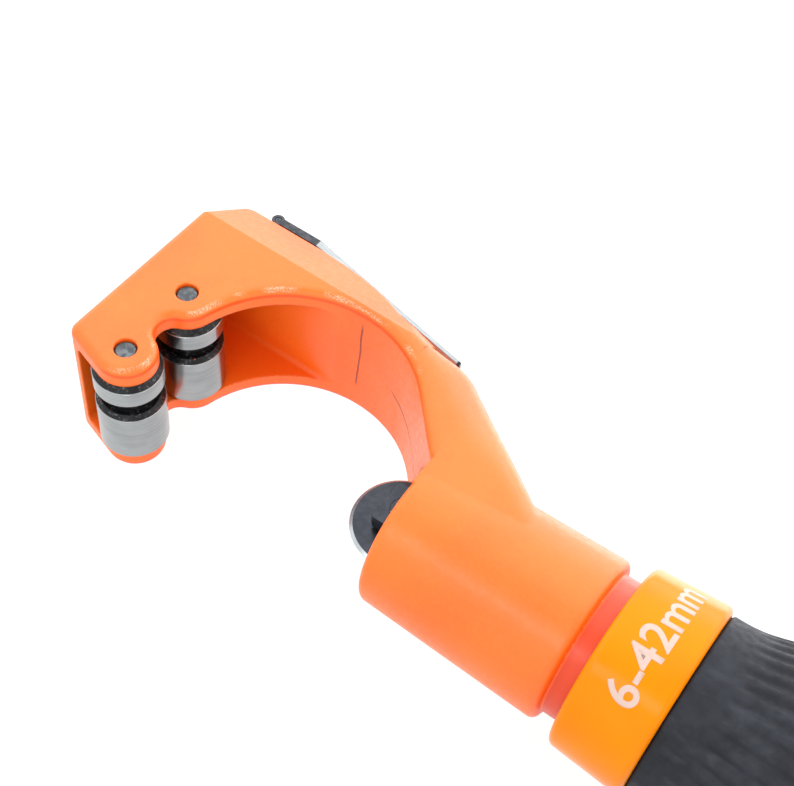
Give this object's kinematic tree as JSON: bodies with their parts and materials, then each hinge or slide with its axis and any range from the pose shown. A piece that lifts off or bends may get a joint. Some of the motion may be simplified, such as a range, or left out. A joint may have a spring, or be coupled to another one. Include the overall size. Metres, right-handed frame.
{
  "type": "pipe cutter",
  "caption": "Hand pipe cutter with a cast C frame, guide rollers, a screw-fed cutting wheel, a folding reamer and a ribbed grip handle.",
  "frame": {"origin": "point on the feed axis midway between the two guide roller axes, on the frame's middle plane", "axes": "+X along the feed axis towards the handle, +Z along the roller pins, +Y towards the closed back of the C frame"},
  "size_m": [0.208, 0.0667, 0.043],
  "materials": {
    "orange_paint": "satin powder coat, fine orange peel",
    "ground_steel": "fine turned and ground",
    "dark_steel": "blackened, slightly worn",
    "wheel_steel": "hardened, dark, with a bright ground edge",
    "blade_steel": "bright rolled strip",
    "amber_plastic": "gloss, slightly translucent look",
    "core_plastic": "matte moulded",
    "grip_rubber": "matte, soft",
    "brass": "machined bronze"
  },
  "bodies": {
    "frame": {"frame": "orange_paint", "front_roller_pin": "dark_steel", "rear_roller_pin": "dark_steel", "guide_screw": "dark_steel", "thrust_washer": "brass", "retaining_ring": "dark_steel", "reamer_pin": "dark_steel"},
    "front_roller": {"front_roller": "ground_steel"},
    "rear_roller": {"rear_roller": "ground_steel"},
    "carrier": {"carrier": "wheel_steel", "feed_nut": "brass", "wheel_pin": "dark_steel", "wheel_clip": "dark_steel"},
    "cutter_wheel": {"cutter_wheel": "wheel_steel"},
    "handle": {"feed_screw": "ground_steel", "lock_nut": "dark_steel", "handle_core": "core_plastic", "grip_ring": "amber_plastic", "rubber_grip": "grip_rubber", "end_cap": "core_plastic", "cap_screw": "dark_steel"},
    "reamer": {"reamer_holder": "dark_steel", "reamer_blade": "blade_steel", "reamer_rivets": "dark_steel"}
  },
  "joints": [
    {"name": "front_roller_spin", "type": "hinge", "parent": "frame", "child": "front_roller", "pos_m": [0, -0.00885, 0], "axis": [0, 0, 1], "continuous": true},
    {"name": "rear_roller_spin", "type": "hinge", "parent": "frame", "child": "rear_roller", "pos_m": [0, 0.00885, 0], "axis": [0, 0, 1], "continuous": true},
    {"name": "handle_turn", "type": "hinge", "parent": "frame", "child": "handle", "pos_m": [0.11, 0, 0], "axis": [-1, 0, 0], "range_deg": [0, 5038]},
    {"name": "carrier_slide", "type": "slide", "parent": "frame", "child": "carrier", "axis": [-1, 0, 0], "range_m": [0, 0.042]},
    {"name": "wheel_spin", "type": "hinge", "parent": "carrier", "child": "cutter_wheel", "pos_m": [0.0587, 0, 0], "axis": [0, 0, 1], "continuous": true},
    {"name": "reamer_fold", "type": "hinge", "parent": "frame", "child": "reamer", "pos_m": [-0.0049, 0.0438, 0], "axis": [0, 0, 1], "range_deg": [0, 175]}
  ],
  "couplings": [
    {"joint": "carrier_slide", "follows": "handle_turn", "m_per_rad": 0.00047746}
  ]
}
